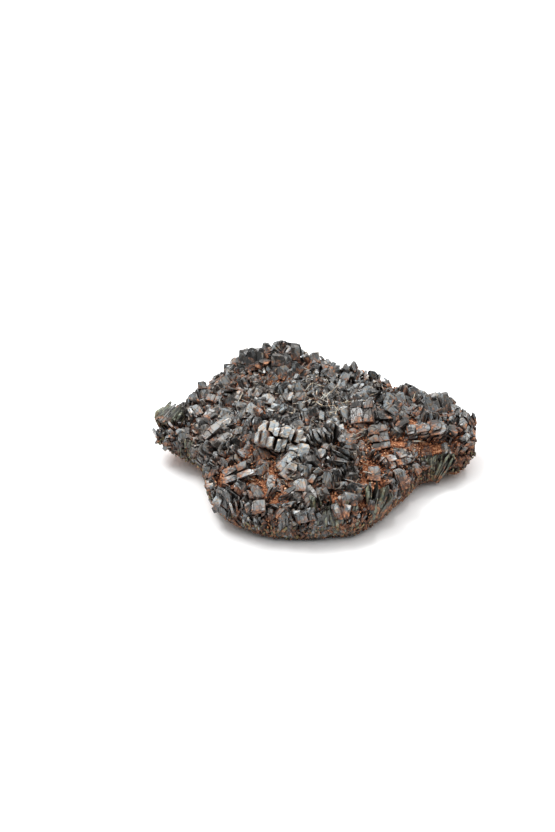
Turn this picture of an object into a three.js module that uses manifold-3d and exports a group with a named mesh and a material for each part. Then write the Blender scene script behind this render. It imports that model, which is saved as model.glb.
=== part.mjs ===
// A plate of epidote crystals on matrix: a low slab of rock whose top and sides are overgrown by
// dark tabular crystals in stacks, fans and sheaves.
// Millimetres, +Z up, +Y away from the front edge. The origin is under the middle of the slab,
// on the surface that it lies on.
import * as THREE from "three";
import { mergeVertices } from "three/addons/utils/BufferGeometryUtils.js";
import Module from "manifold-3d";

const wasm = await Module();
wasm.setup();

// Driving dimensions of the slab
const slabMiddle = { x: 1, y: -1 }; // the point that the rim's stations are turned about
const domeHeight = 13.5; // rock surface at the middle, without crystals
const footShare = 0.6; // share of the radius that lies flat on the surface below
const rockWobble = 0.7; // how far the broken rock's facets stand in or out
const fitGap = 0.3; // clearance round a crystal group, to its socket in the rock and to other groups
const floorClearance = 0.2; // no crystal reaches lower than this
const boxMiddle = { x: -0.26, y: -0.36 }; // middle of the whole specimen, in the stations' frame

// The rim, as stations round the slab: x, y, height of its underside, height of its shoulder
const rimStations = [
  [41.0, 7.0, 4.0, 11.0],
  [38.0, 10.5, 3.5, 12.0],
  [30.5, 13.5, 3.0, 12.5],
  [20.0, 18.0, 3.0, 13.0],
  [7.0, 25.0, 3.0, 13.5],
  [-4.0, 29.5, 3.5, 14.5],
  [-16.0, 30.0, 3.5, 14.5],
  [-25.0, 24.0, 3.5, 13.0],
  [-30.0, 16.5, 4.0, 12.0],
  [-37.5, 10.5, 4.0, 10.0],
  [-42.0, 5.0, 5.0, 9.0],
  [-42.2, 1.5, 5.0, 8.5],
  [-38.0, -1.5, 3.8, 8.5],
  [-32.0, -5.0, 2.8, 9.0],
  [-28.5, -10.0, 2.5, 9.0],
  [-28.5, -16.5, 2.5, 9.0],
  [-27.0, -23.0, 2.5, 8.5],
  [-22.5, -29.0, 1.8, 8.5],
  [-13.0, -33.5, 0.7, 8.5],
  [-5.5, -34.2, 0.5, 8.5],
  [3.0, -33.5, 0.5, 9.0],
  [9.0, -33.0, 0.7, 9.0],
  [15.0, -28.5, 1.4, 9.0],
  [20.5, -21.5, 2.0, 9.0],
  [26.5, -12.0, 1.8, 8.5],
  [33.0, -8.0, 1.4, 8.0],
  [38.5, -6.5, 1.8, 8.0],
  [41.3, -3.0, 3.0, 8.5],
  [42.0, 1.5, 4.5, 9.5],
];

// Section of the slab from the middle of its foot, round the wall, to the middle of its top:
// share of the rim's radius, and level from 0 at the underside to 1 at the top
const slabSection = [
  [0, 0],
  [footShare, 0],
  [0.97, 0],
  [1.0, 0.35],
  [0.98, 0.72],
  [0.9, 1],
  [0.68, 1],
  [0.42, 1],
  [0, 1],
];
const slabSides = 46;

// A repeatable stream of numbers from 0 to 1
function seededNumbers(seed) {
  let state = seed >>> 0;
  return () => {
    state = (state + 0x6d2b79f5) >>> 0;
    let mixed = Math.imul(state ^ (state >>> 15), state | 1);
    mixed ^= mixed + Math.imul(mixed ^ (mixed >>> 7), mixed | 61);
    return ((mixed ^ (mixed >>> 14)) >>> 0) / 4294967296;
  };
}

const radians = THREE.MathUtils.degToRad;
const { lerp, clamp, smoothstep } = THREE.MathUtils;

// The rim's radius, underside and shoulder in a direction from the slab's middle
const rimByAngle = rimStations
  .map(([x, y, low, top]) => {
    const dx = x - slabMiddle.x;
    const dy = y - slabMiddle.y;
    return { angle: Math.atan2(dy, dx), radius: Math.hypot(dx, dy), low, top };
  })
  .sort((a, b) => a.angle - b.angle);

function rimAt(angle) {
  const count = rimByAngle.length;
  const turn = Math.atan2(Math.sin(angle), Math.cos(angle));
  const next = Math.max(0, rimByAngle.findIndex((station) => station.angle > turn));
  const before = rimByAngle[(next + count - 1) % count];
  const after = rimByAngle[next];
  const full = 2 * Math.PI;
  const span = (after.angle - before.angle + full) % full;
  const share = ((turn - before.angle + full) % full) / span;
  return {
    radius: lerp(before.radius, after.radius, share),
    low: lerp(before.low, after.low, share),
    top: lerp(before.top, after.top, share),
  };
}

// Height of the rock's top at a share of the radius: a low dome that falls to the shoulder
function topHeight(rim, share) {
  return lerp(domeHeight, rim.top, smoothstep(share, 0.3, 1));
}

function undersideHeight(rim, share) {
  return rim.low * clamp((share - footShare) / (1 - footShare), 0, 1);
}

function rockHeightAt(x, y) {
  const dx = x - slabMiddle.x;
  const dy = y - slabMiddle.y;
  const rim = rimAt(Math.atan2(dy, dx));
  return topHeight(rim, Math.min(1, Math.hypot(dx, dy) / rim.radius));
}

// Geometry at a place, as a solid that can be joined and cut
function solidFrom(geometry, matrix) {
  const loose = geometry.index ? geometry.toNonIndexed() : geometry;
  const bare = new THREE.BufferGeometry();
  bare.setAttribute("position", loose.getAttribute("position").clone());
  if (matrix) bare.applyMatrix4(matrix);
  const merged = mergeVertices(bare, 1e-4);
  return new wasm.Manifold(
    new wasm.Mesh({
      numProp: 3,
      vertProperties: new Float32Array(merged.attributes.position.array),
      triVerts: new Uint32Array(merged.index.array),
    }),
  );
}

function geometryOf(solid) {
  const { vertProperties, triVerts } = solid.getMesh();
  const geometry = new THREE.BufferGeometry();
  geometry.setAttribute("position", new THREE.BufferAttribute(new Float32Array(vertProperties), 3));
  geometry.setIndex(new THREE.BufferAttribute(new Uint32Array(triVerts), 1));
  const loose = geometry.toNonIndexed();
  loose.computeVertexNormals();
  return loose;
}

// The largest of the bodies that cutting has left
function mainBody(solid) {
  return solid.decompose().reduce((best, body) => (body.volume() > best.volume() ? body : best));
}

// The slab, before any crystals
function rockSolid() {
  const random = seededNumbers(11);
  const nudges = slabSection.map(() => Array.from({ length: slabSides }, () => 2 * random() - 1));
  const profile = slabSection.map(([share, level]) => new THREE.Vector2(share, level));
  const lathe = new THREE.LatheGeometry(profile, slabSides);
  const position = lathe.getAttribute("position");
  const rings = slabSection.length;
  for (let i = 0; i < position.count; i++) {
    const ring = i % rings;
    const side = Math.floor(i / rings) % slabSides;
    const angle = (side / slabSides) * 2 * Math.PI;
    const [share, level] = slabSection[ring];
    const rim = rimAt(angle);
    const nudge = share > 0 ? rockWobble * nudges[ring][side] : 0;
    const radius = share * rim.radius + (share > 0.9 ? nudge : 0);
    const low = undersideHeight(rim, share);
    const top = topHeight(rim, share) + nudge;
    position.setXYZ(
      i,
      slabMiddle.x + radius * Math.cos(angle),
      slabMiddle.y + radius * Math.sin(angle),
      lerp(low, top, level),
    );
  }
  return solidFrom(lathe);
}

// The crystals of one row, side by side like books on a shelf or like cards in a fan. Each has its
// place across the row, its thickness, its length, its chisel tip's drop, and its lean.
function rowOfCrystals(group, random) {
  const [length, , thickness] = group.size;
  const middle = (group.count - 1) / 2;
  const crystals = [];
  let across = 0;
  for (let i = 0; i < group.count; i++) {
    const thick = thickness * (0.75 + 0.5 * random());
    const tall = length * (0.76 + 0.4 * random());
    const drop = thick * (0.8 * random() - 0.25);
    const lean = radians(group.fan * (i - middle));
    crystals.push({ across: across + thick / 2, thick, tall, drop, lean });
    across += thick;
  }
  crystals.forEach((crystal) => (crystal.across -= across / 2));
  return crystals;
}

// The direction from root to tip of a crystal that leans, seen along its width
function swayOf(lean) {
  return new THREE.Vector2(Math.sin(lean), Math.cos(lean));
}

// The four corners of one crystal of a row, from its root's left, round its tip
const fanFill = 0.92; // share of the room between two leaning crystals that each one fills
const fanRoot = 0.4; // how closely the roots of a fan stand, against a straight stack
function crystalCorners({ across, thick, tall, drop, lean }, fan) {
  const squeeze = fan ? fanRoot : 1;
  const root = squeeze * across;
  const wide = fan ? fanFill * (squeeze * thick + tall * Math.sin(radians(fan))) : thick;
  const sway = swayOf(lean);
  const side = new THREE.Vector2(sway.y, -sway.x);
  const tip = new THREE.Vector2(root, 0).addScaledVector(sway, tall);
  return [
    new THREE.Vector2(root - (squeeze * thick) / 2, 0),
    tip.clone().addScaledVector(side, -wide / 2),
    tip.clone().addScaledVector(side, wide / 2).addScaledVector(sway, -drop),
    new THREE.Vector2(root + (squeeze * thick) / 2, 0),
  ];
}

// Outline of a row, seen along its width: across the stack in x, from root to tip in y
const notchDepth = 0.8; // how high the crack between two leaning crystals starts, as a share
function rowOutline(crystals, fan) {
  const corners = crystals.map((crystal) => crystalCorners(crystal, fan));
  const points = [corners[0][0]];
  corners.forEach(([, tipLeft, tipRight, rootRight], i) => {
    points.push(tipLeft, tipRight);
    const next = crystals[i + 1];
    if (!fan || !next) return;
    const between = (crystals[i].lean + next.lean) / 2;
    const depth = notchDepth * Math.min(crystals[i].tall, next.tall);
    points.push(rootRight.clone().addScaledVector(swayOf(between), depth));
  });
  points.push(corners[corners.length - 1][3]);
  return points;
}

// Outline of the room that a fan needs, with fitGap on all sides
function roomyFan(crystals, fan) {
  const tallest = Math.max(...crystals.map(({ tall }) => tall));
  const ends = [crystals[0], crystals[crystals.length - 1]];
  const [left, right] = ends.map((crystal) => crystalCorners({ ...crystal, tall: tallest, drop: 0 }, fan));
  const [leftUp, rightUp] = ends.map(({ lean }) => swayOf(lean).multiplyScalar(fitGap));
  const leftAside = new THREE.Vector2(-leftUp.y, leftUp.x);
  const rightAside = new THREE.Vector2(rightUp.y, -rightUp.x);
  const over = (tallest + fitGap) / Math.cos(radians(fan / 2)) ** 2;
  return [
    left[0].add(leftAside).sub(leftUp),
    left[1].add(leftAside).add(leftUp),
    ...crystals.map(({ lean }) => swayOf(lean).multiplyScalar(over)),
    right[2].add(rightAside).add(rightUp),
    right[3].add(rightAside).sub(rightUp),
  ];
}

function prism(points, width) {
  const settings = { depth: width, bevelEnabled: false };
  return new THREE.ExtrudeGeometry(new THREE.Shape(points), settings).translate(0, 0, -width / 2);
}

// A group's own frame at its root: x is the broad faces' normal, y runs from root to tip, and z is
// along the width of the crystals
function frameOf(group) {
  const azimuth = radians(group.face[0]);
  const elevation = radians(group.face[1]);
  const facing = new THREE.Vector3(
    Math.cos(elevation) * Math.cos(azimuth),
    Math.cos(elevation) * Math.sin(azimuth),
    Math.sin(elevation),
  );
  const level = new THREE.Vector3(0, 0, 1).cross(facing).normalize();
  const along = new THREE.Vector3().crossVectors(facing, level).applyAxisAngle(facing, radians(group.turn));
  const widthway = new THREE.Vector3().crossVectors(facing, along);
  const [x, y] = group.at;
  const root = new THREE.Vector3(x, y, rockHeightAt(x, y) + group.lift);
  return new THREE.Matrix4().makeBasis(facing, along, widthway).setPosition(root);
}

// A group's rows of crystals, each with its place in the group's frame, its width, and the corner
// that is cut off its tips: on which side, at what angle, and how far out
const rowSpacing = 0.88; // from one row to the next, as a share of the width
function rowsOf(group) {
  const random = seededNumbers(group.seed);
  const [length, width, thickness] = group.size;
  return Array.from({ length: group.rows }, (_, i) => ({
    crystals: rowOfCrystals(group, random),
    place: new THREE.Vector3(
      0.8 * thickness * (random() - 0.5),
      0.22 * length * (random() - 0.5) - group.sunk,
      (i - (group.rows - 1) / 2) * width * rowSpacing,
    ),
    width: width * (0.92 + 0.2 * random()),
    side: random() < 0.5 ? -1 : 1,
    angle: radians(28 + 30 * random()),
    share: 0.5 + 0.35 * random(),
  }));
}

// One row as a solid, with the corner of its tips cut off on one side
function rowSolid(row, group) {
  const matrix = frameOf(group).multiply(new THREE.Matrix4().setPosition(row.place));
  const whole = solidFrom(prism(rowOutline(row.crystals, group.fan), row.width), matrix);
  const { crystals, width, side, angle, share } = row;
  const tallest = Math.max(...crystals.map(({ tall }) => tall));
  const corner = new THREE.Vector3(0, tallest, (side * width * share) / 2).applyMatrix4(matrix);
  const away = new THREE.Vector3(0, Math.cos(angle), side * Math.sin(angle)).transformDirection(matrix);
  return whole.trimByPlane(away.clone().negate().toArray(), -away.dot(corner));
}

// The room that a group needs, with fitGap on all sides: a prism for each row of a fan, or one box
function roomOf(rows, group) {
  const matrix = frameOf(group);
  if (group.fan) {
    const rooms = rows.map(({ crystals, width, place }) => {
      const room = prism(roomyFan(crystals, group.fan), width + 2 * fitGap);
      return solidFrom(room, matrix.clone().multiply(new THREE.Matrix4().setPosition(place)));
    });
    return wasm.Manifold.union(rooms);
  }
  const box = new THREE.Box3();
  for (const { crystals, width, place } of rows) {
    for (const { x, y } of crystals.flatMap((crystal) => crystalCorners(crystal, 0))) {
      box.expandByPoint(new THREE.Vector3(x, y, -width / 2).add(place));
      box.expandByPoint(new THREE.Vector3(x, y, width / 2).add(place));
    }
  }
  box.expandByScalar(fitGap);
  const { x, y, z } = box.getSize(new THREE.Vector3());
  const middle = new THREE.Matrix4().setPosition(box.getCenter(new THREE.Vector3()));
  return solidFrom(new THREE.BoxGeometry(x, y, z), matrix.multiply(middle));
}

const usual = { turn: 0, fan: 0, count: 3, rows: 2, sunk: 1.6, lift: 0, size: [5.6, 3, 1.4] };

// The crystal groups. at: x and y of the root on the rock. face: where the broad faces look, as
// azimuth (-90 is the front) and elevation. turn: the long axis about that. fan: degrees from one
// crystal to the next, 0 for a straight stack. size: a crystal's length, width and thickness.
const crystalGroups = {
  left_tip_fan: {
    at: [-37.8, 6.5], face: [160, 10], fan: 13, rows: 1, count: 5,
    size: [6, 5.6, 1.5],
  },
  left_upper_blocks: { at: [-31, 12.5], face: [-70, 50], size: [6.4, 2.9, 1.5] },
  left_flat_plate: {
    at: [-27.5, -3.5], face: [-115, 62], count: 3, turn: -35,
    size: [7.2, 2.8, 1.5],
  },
  left_ribbed_stack: {
    at: [-21.5, -9], face: [-25, 30], count: 5, turn: 25,
    size: [6.6, 2.7, 1.3],
  },
  back_left_knob: { at: [-17, 26], face: [-100, 35], rows: 3, size: [6.8, 2.8, 2.2] },
  back_knob: { at: [-8.5, 25.5], face: [-75, 30], rows: 3, turn: -10, size: [7.4, 3, 2.4] },
  back_tall_blade: { at: [10.5, 19.5], face: [-30, 25], turn: 12, size: [6.6, 2.4, 1.5] },
  right_back_blocks: { at: [32, 8.5], face: [-85, 42], rows: 3, turn: 15, size: [5.4, 2.5, 1.7] },
  right_tip_blade: { at: [38.5, 3], face: [-20, 30], size: [6, 2.8, 1.4] },
  centre_fan: {
    at: [-9.5, -9], face: [175, 15], turn: -38, fan: 12, count: 6,
    size: [9, 3.4, 1.8],
  },
  centre_bright_blades: { at: [-8.5, -19], face: [-80, 50], turn: -50, size: [7, 2.6, 1.5] },
  centre_dark_fan: {
    at: [1.5, -9], face: [20, 10], fan: 13, count: 5, rows: 1, turn: 10,
    size: [6.4, 5, 1.3],
  },
  curved_stack: {
    at: [7.5, -15], face: [60, 20], fan: 12, count: 5, rows: 1, turn: -10,
    size: [6.4, 5.4, 1.5],
  },
  right_plate_pair: { at: [12.5, 0], face: [-110, 58], turn: 15, size: [6.8, 3.1, 1.6] },
  right_plate_stack: { at: [22, 4], face: [-60, 48], turn: 35, size: [7, 3, 1.5] },
  right_broad_plate: { at: [16, -8], face: [-85, 55], turn: 5, size: [7.6, 3.2, 1.6] },
  right_diagonal_blade: {
    at: [25, -3], face: [-120, 60], rows: 1, turn: -60,
    size: [10, 3.6, 1.6],
  },
  right_flat_blades: { at: [18, -14.5], face: [-80, 72], turn: -75, size: [8, 2.4, 1.2] },
  right_rim_sheaf: {
    at: [30, -8], face: [-10, 5], fan: 9, count: 6, rows: 1,
    size: [8.6, 4, 1.6], lift: -5,
  },
  front_sheaf: {
    at: [2.5, -30], face: [5, -12], fan: 7, count: 7, rows: 1,
    size: [10.5, 4, 1.8], lift: -4.5,
  },
  front_right_sheaf: {
    at: [13.5, -27.5], face: [10, -10], fan: 8, count: 5, rows: 1,
    size: [9.5, 3.8, 1.6], lift: -4.5,
  },
  front_left_wedge: {
    at: [-23, -26.5], face: [-140, 20], fan: 9, count: 5, rows: 1,
    size: [7.6, 4.6, 1.7], lift: -2.5,
  },
  front_plates: { at: [-9.5, -31], face: [-95, 35], turn: 15, size: [7.4, 3.2, 1.6], lift: -3 },
  front_right_block: { at: [20, -20.5], face: [-60, 40], size: [5.8, 2.8, 1.6], lift: -1 },
  front_left_blades: { at: [-22.5, -19], face: [-110, 58], turn: -55, size: [8.6, 2.4, 1.5] },
};

// Lesser crystals of the crust, one with the rock: single ones and pairs
const crust = {
  tries: 900, // places looked at
  keepClear: 3.7, // least distance between two roots
  keepShare: 0.85, // a crystal of which a larger group's room takes more isn't there at all
  singles: 0.75, // share of the places with a single crystal
  faceTurn: 85, // how far the broad faces look aside from the front
  faceRise: [28, 72],
  length: [4.2, 6.4],
  rimLength: 0.68, // length of those at the rim, as a share of the others'
  width: [3, 5.2],
  thickness: [1.6, 3],
};

// From the root of one group to the root of another
const distance = (one, other) => Math.hypot(one.at[0] - other.at[0], one.at[1] - other.at[1]);

// Places for the crust's crystals, anywhere on the slab that isn't close to the root of another
function crustBetween(groups) {
  const random = seededNumbers(5);
  const between = ([low, high]) => low + (high - low) * random();
  const found = [];
  for (let i = 0; i < crust.tries; i++) {
    const angle = 2 * Math.PI * random();
    const share = 0.98 * Math.sqrt(random());
    const rim = rimAt(angle);
    const stunted = lerp(1, crust.rimLength, smoothstep(share, 0.7, 0.9));
    const crystal = {
      ...usual,
      at: [
        slabMiddle.x + share * rim.radius * Math.cos(angle),
        slabMiddle.y + share * rim.radius * Math.sin(angle),
      ],
      face: [between([-90 - crust.faceTurn, -90 + crust.faceTurn]), between(crust.faceRise)],
      turn: between([-35, 35]),
      count: random() < crust.singles ? 1 : 2,
      rows: 1,
      size: [stunted * between(crust.length), between(crust.width), between(crust.thickness)],
      seed: 500 + i,
    };
    const isClear = (other) => distance(other, crystal) > crust.keepClear;
    if ([...groups, ...found].every(isClear)) found.push(crystal);
  }
  return found;
}

const epidote = new THREE.MeshStandardMaterial({ color: 0x3d4143, roughness: 0.35, metalness: 0 });
const greenEpidote = new THREE.MeshStandardMaterial({ color: 0x565b46, roughness: 0.45, metalness: 0 });
const rustyRock = new THREE.MeshStandardMaterial({ color: 0x8a4a30, roughness: 0.9, metalness: 0 });
const greenGroups = new Set(["right_rim_sheaf", "front_sheaf", "front_right_sheaf"]);

const specimen = new THREE.Group();

function addPiece(name, solid, material) {
  const mesh = new THREE.Mesh(geometryOf(solid), material);
  mesh.name = name;
  specimen.add(mesh);
}

const groups = Object.entries(crystalGroups).map(([name, own], i) => ({
  name,
  seed: 100 + i,
  ...usual,
  ...own,
}));

// Each group is cut back from the groups before it, and stands in a socket in the rock
const reach = 13; // no two groups whose roots are further apart can touch
const aboveFloor = (solid) => solid.trimByPlane([0, 0, 1], floorClearance);
const cutIfTouched = (solid, room) => (solid.intersect(room).isEmpty() ? solid : solid.subtract(room));
const placed = [];
for (const group of groups) {
  const rows = rowsOf(group);
  const near = placed.filter((other) => distance(other, group) < reach);
  const whole = wasm.Manifold.union(rows.map((row) => rowSolid(row, group)));
  const solid = near.reduce((rest, { room }) => cutIfTouched(rest, room), whole);
  addPiece(group.name, mainBody(aboveFloor(solid)), greenGroups.has(group.name) ? greenEpidote : epidote);
  placed.push({ at: group.at, room: roomOf(rows, group) });
}

// The rock with its sockets, and with the crust's crystals that have room between the groups
function matrixSolid() {
  const sockets = wasm.Manifold.union(placed.map(({ room }) => room));
  const grown = [];
  for (const group of crustBetween(groups)) {
    const whole = wasm.Manifold.union(rowsOf(group).map((row) => rowSolid(row, group)));
    const rest = cutIfTouched(whole, sockets);
    if (rest.volume() > crust.keepShare * whole.volume()) grown.push(aboveFloor(rest));
  }
  return mainBody(wasm.Manifold.union([rockSolid().subtract(sockets), ...grown]));
}

addPiece("matrix", matrixSolid(), rustyRock);
specimen.position.set(-boxMiddle.x, -boxMiddle.y, 0);

export default specimen;
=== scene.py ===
# A plate of epidote crystals on rusty matrix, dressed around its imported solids.
# Lengths are millimetres in the stations' frame of the slab, and turned to metres where a mesh is made.
import math
from functools import partial
import bmesh
import bpy
import numpy as np
from mathutils import Matrix, Vector, noise


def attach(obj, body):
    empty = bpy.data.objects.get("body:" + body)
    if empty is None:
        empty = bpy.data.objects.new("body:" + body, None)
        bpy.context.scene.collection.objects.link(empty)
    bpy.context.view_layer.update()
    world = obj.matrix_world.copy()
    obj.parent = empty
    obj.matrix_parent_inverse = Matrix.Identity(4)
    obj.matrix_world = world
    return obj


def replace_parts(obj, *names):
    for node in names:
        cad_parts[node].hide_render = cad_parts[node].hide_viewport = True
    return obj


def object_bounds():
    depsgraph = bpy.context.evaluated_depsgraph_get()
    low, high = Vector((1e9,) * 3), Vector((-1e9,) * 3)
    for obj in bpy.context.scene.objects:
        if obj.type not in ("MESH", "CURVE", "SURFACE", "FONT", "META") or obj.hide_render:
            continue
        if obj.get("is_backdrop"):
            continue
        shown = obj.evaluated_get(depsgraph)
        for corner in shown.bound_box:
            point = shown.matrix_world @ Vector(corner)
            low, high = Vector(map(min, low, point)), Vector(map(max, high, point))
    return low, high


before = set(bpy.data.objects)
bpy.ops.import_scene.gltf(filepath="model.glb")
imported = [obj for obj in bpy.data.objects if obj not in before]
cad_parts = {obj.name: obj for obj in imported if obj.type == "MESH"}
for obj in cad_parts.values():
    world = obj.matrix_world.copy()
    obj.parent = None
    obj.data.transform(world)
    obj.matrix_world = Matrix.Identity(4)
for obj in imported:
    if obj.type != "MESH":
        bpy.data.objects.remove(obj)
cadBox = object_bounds()
mm = 0.001
boxMiddle = (-0.26, -0.36)  # middle of the specimen's box in the stations' frame
upwards = Vector((0, 0, 1))


def addObject(name, data):
    made = bpy.data.objects.new(name, data)
    bpy.context.scene.collection.objects.link(made)
    return made


def toLinear(hexColour):
    parts = [int(hexColour[i:i + 2], 16) / 255 for i in (1, 3, 5)]
    return [c / 12.92 if c <= 0.04045 else ((c + 0.055) / 1.055) ** 2.4 for c in parts] + [1.0]


def lerp(a, b, share):
    return a + (b - a) * share


def smoothStep(value, low, high):
    t = min(1, max(0, (value - low) / (high - low)))
    return t * t * (3 - 2 * t)


# Camera: the photograph's place and angle, on a long lens
camera = {
    "place": (-9.94, -400.04, 291.76),
    "elevation": 34.6,  # degrees, looking down along +Y
    "focalPixels": 1860,
    "imageLongSide": 832,
}


def makeCamera():
    data = bpy.data.cameras.new("camera")
    data.sensor_width = 36
    data.lens = camera["focalPixels"] / camera["imageLongSide"] * data.sensor_width
    data.clip_start, data.clip_end = 0.01, 20
    made = addObject("camera", data)
    made.location = Vector(camera["place"]) * mm
    made.rotation_euler = (math.radians(90 - camera["elevation"]), 0, 0)
    bpy.context.scene.camera = made


# Studio: a white light tent, brightest overhead and dim on the camera's side, on a white sweep
studio = {
    "floorSize": 12.0,  # metres
    "floorColour": "#fafafa",
    "tentHeights": (0, 0.4, 0.7, 1),  # from the floor's level to straight overhead
    "tentStrengths": (0.25, 0.55, 1.8, 2.1),
    "rampTop": 3.0,  # strength that the tent's ramp holds as white
    "cameraSide": 0.2,  # how much of the strength the side behind the camera has
    "cameraSideFrom": (-0.8, 0.1),  # along Y, from that side's strength to the full one
    "lamps": {  # place and size in metres, watts
        "soft_box": ((-0.35, 0.25, 0.75), 0.35, 4.0),
        "spark": ((0.3, 0.35, 0.6), 0.09, 1.1),  # small, for the glints on the facets
    },
}


def makeStudio():
    bm = bmesh.new()
    bmesh.ops.create_grid(bm, x_segments=1, y_segments=1, size=studio["floorSize"] / 2)
    data = bpy.data.meshes.new("floor")
    bm.to_mesh(data)
    bm.free()
    floor = addObject("floor", data)
    floor.data.materials.append(paperFloor())
    floor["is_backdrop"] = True
    for name, (place, size, watts) in studio["lamps"].items():
        light = bpy.data.lights.new(name, "AREA")
        light.size = size
        light.energy = watts
        made = addObject(name, light)
        made.location = place
        made.rotation_euler = (-Vector(place)).to_track_quat("-Z", "Y").to_euler()
    tent = bpy.data.worlds.new("light_tent")
    tent.use_nodes = True
    background = tent.node_tree.nodes["Background"]
    add = partial(addNode, tent)
    top = studio["rampTop"]
    split = add("SeparateXYZ", links={"Vector": add("TexCoord")["Generated"]})
    strengths = [s / top for s in studio["tentStrengths"]]
    height = add("ValToRGB", {"stops": (studio["tentHeights"], strengths)}, {"Fac": split["Z"]})["Color"]
    behind = add("MapRange", {
        "From": studio["cameraSideFrom"], "To": (top * studio["cameraSide"], top)}, {"Value": split["Y"]})[0]
    feed(tent, background, {"Strength": add("Math", {"operation": "MULTIPLY"}, {0: height, 1: behind})[0]})
    background.inputs["Color"].default_value = (1, 1, 1, 1)
    bpy.context.scene.world = tent
    bpy.context.scene.view_settings.view_transform = "Standard"


# Materials

def newMaterial(name):
    material = bpy.data.materials.new(name)
    material.use_nodes = True
    return material, material.node_tree.nodes["Principled BSDF"], partial(addNode, material)


def feed(material, node, links):
    for key, source in links.items():
        material.node_tree.links.new(source, node.inputs[key])


# settings are a node's properties and sockets, a ramp's stops as places and colours, and a map's ranges
# from and to; links are the sockets that other nodes feed
def addNode(material, kind, settings=None, links=None):
    node = material.node_tree.nodes.new("ShaderNode" + kind)
    for key, value in (settings or {}).items():
        if key == "stops":
            elements = node.color_ramp.elements
            while len(elements) < len(value[0]):
                elements.new(0.5)
            for element, place, colour in zip(elements, *value):
                element.position = place
                element.color = toLinear(colour) if isinstance(colour, str) else (colour, colour, colour, 1)
        elif key in ("From", "To"):
            for end, limit in zip((" Min", " Max"), value):
                node.inputs[key + end].default_value = limit
        elif isinstance(key, str) and hasattr(node, key):
            setattr(node, key, value)
        else:
            node.inputs[key].default_value = value
    feed(material, node, links or {})
    return node.outputs


def paperFloor():
    material, shader, _ = newMaterial("matt_paper")  # soft, no gloss
    shader.inputs["Base Color"].default_value = toLinear(studio["floorColour"])
    shader.inputs["Roughness"].default_value = 0.9
    shader.inputs["Specular IOR Level"].default_value = 0.0
    return material


def perMetre(sizeMm):
    return 1 / (sizeMm * mm)


# Iron-stained rock: limonite and hematite crumbs, dull and granular, olive where it meets the foot
rockLook = {
    "rust": ("#3b1f12", "#8c5437", "#cd8d62", "#ecc8a6"),  # from pits to crests, as the two below: the rock's own mottling, with painted shade in the pits and painted light on the crests of the crumbs' relief
    "grey": ("#100d0b", "#261f1a", "#43382e", "#64574a"),
    "olive": ("#17160a", "#34311a", "#5d5a2e", "#97924f"),
    "steps": (0.3, 0.45, 0.58, 0.75),  # of the crumb noise, for the four colours
    "toneShare": 0.34,  # how far each crumb's own tone moves its rust
    "crumbSize": 0.55,  # mm
    "patchSize": 7.0,  # mm
    "stained": (0.55, 0.85),  # stain and patches together, from grey to rust
    "footTop": (3.0, 4.6),  # mm, from olive to the stone above
    "footWave": 4.0,  # mm that this line wavers
    "roughness": 0.92,
    "bump": 0.25,  # mm
    # painted shade, brown as dirt, where the rock's surfaces crowd together, and none in the open
    "shadeAndGrime": ("#2a1a13", "#c09a80", "#ffffff"),
    "gapWidth": 1.2,  # mm
}
shadeAndGrimeSteps = (0.17, 0.5, 0.76)  # painted shade: from where pieces crowd together, darkest, to the open


# Painted shade: darkens a colour where surfaces crowd together and shade falls, browner there as with dirt
def withShadeAndGrime(add, colour, look):
    crowded = add("AmbientOcclusion", {"samples": 6, "Distance": look["gapWidth"] * mm})["AO"]
    shadeAndGrime = add("ValToRGB", {"stops": (shadeAndGrimeSteps, look["shadeAndGrime"])}, {"Fac": crowded})["Color"]
    return add("Mix", {"data_type": "RGBA", "blend_type": "MULTIPLY", "Factor": 1.0}, {
        "A": colour, "B": shadeAndGrime})["Result"]


def ironStainedRock():
    look = rockLook
    material, shader, add = newMaterial("iron_stained_rock")
    place = add("TexCoord")["Object"]
    crumbs, patches = (
        add("TexNoise", {
            "Scale": perMetre(look[size]), "Detail": 3.0, "Roughness": rough}, {"Vector": place})["Fac"]
        for size, rough in (("crumbSize", 0.65), ("patchSize", 0.6)))
    tone, stain = (add("Attribute", {"attribute_name": layer})["Fac"] for layer in ("tone", "rust"))
    varied = add("Math", {
        "operation": "MULTIPLY_ADD", 1: look["toneShare"], 2: -look["toneShare"] / 2}, {0: tone})[0]
    varied = add("Math", {"operation": "ADD"}, {0: crumbs, 1: varied})[0]
    # The crumb noise that gives the bump also picks the colours: darkest in its pits and lightest on its crests,
    # painted shade and light beside the rock's own mottling
    rust, grey, olive = (
        add("ValToRGB", {"stops": (look["steps"], look[colours])}, {"Fac": level})["Color"]
        for colours, level in (("rust", varied), ("grey", crumbs), ("olive", crumbs)))
    stained = add("Math", {"operation": "ADD"}, {0: stain, 1: patches})[0]
    stainMask = add("MapRange", {"From": look["stained"]}, {"Value": stained})[0]
    top = add("Mix", {"data_type": "RGBA"}, {"Factor": stainMask, "A": grey, "B": rust})["Result"]
    height = add("SeparateXYZ", links={"Vector": place})["Z"]
    wavy = add("Math", {"operation": "MULTIPLY_ADD", 1: look["footWave"] * mm}, {0: patches, 2: height})[0]
    footMask = add("MapRange", {"From": [z * mm for z in look["footTop"]], "To": (1, 0)}, {"Value": wavy})[0]
    colour = add("Mix", {"data_type": "RGBA"}, {"Factor": footMask, "A": top, "B": olive})["Result"]
    bump = add("Bump", {"Strength": 0.9, "Distance": look["bump"] * mm}, {"Height": crumbs})
    # the rock's colour takes painted shade where its crumbs and crystals crowd together
    feed(material, shader, {"Base Color": withShadeAndGrime(add, colour, look), "Normal": bump["Normal"]})
    shader.inputs["Roughness"].default_value = look["roughness"]
    return material


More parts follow.
